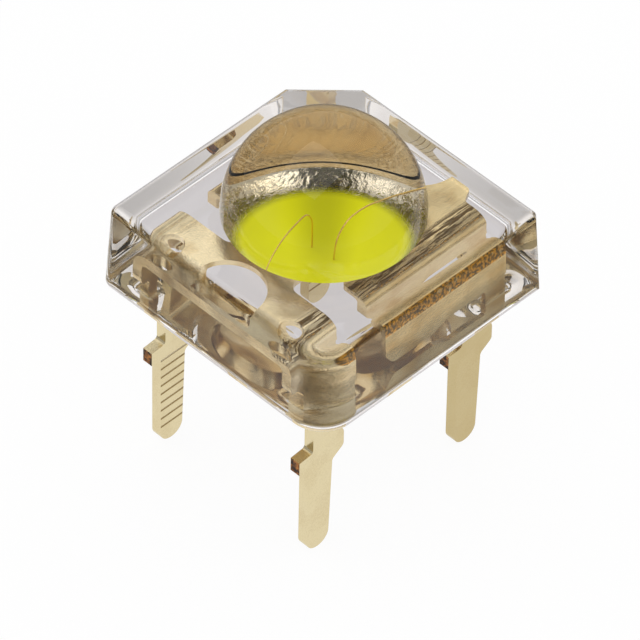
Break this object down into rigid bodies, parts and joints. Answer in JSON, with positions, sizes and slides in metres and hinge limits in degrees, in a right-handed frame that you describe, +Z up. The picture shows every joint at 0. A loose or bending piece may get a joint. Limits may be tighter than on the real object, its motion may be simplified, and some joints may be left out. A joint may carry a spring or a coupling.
{
  "type": "superflux led",
  "caption": "Square light-emitting diode cast in clear epoxy, with a domed lens over a reflector cup and two folded gold-plated leadframes that end in through-hole legs.",
  "frame": {"origin": "on the plane that the four leg tips stand on, under the axis of the domed lens", "axes": "+Z up along the lens axis, +X from the cup's leadframe towards the bond post's leadframe, the polarity chamfer on the +X +Y corner"},
  "size_m": [0.0076, 0.0076, 0.0104],
  "materials": {
    "clear_epoxy": "clear cast epoxy, polished by its mould",
    "gold_plate": "pale gold plate on stamped copper alloy sheet",
    "phosphor": "matt greenish yellow filled resin",
    "chip": "polished crystal",
    "silver_paste": "cured silver paste",
    "gold_wire": "drawn gold wire"
  },
  "bodies": {
    "root": {"epoxy_body": "clear_epoxy", "cup_leadframe": "gold_plate", "post_leadframe": "gold_plate", "phosphor_fill": "phosphor", "led_chip": "chip", "die_attach": "silver_paste", "bond_wire_cup": "gold_wire", "bond_wire_post": "gold_wire"}
  },
  "joints": []
}
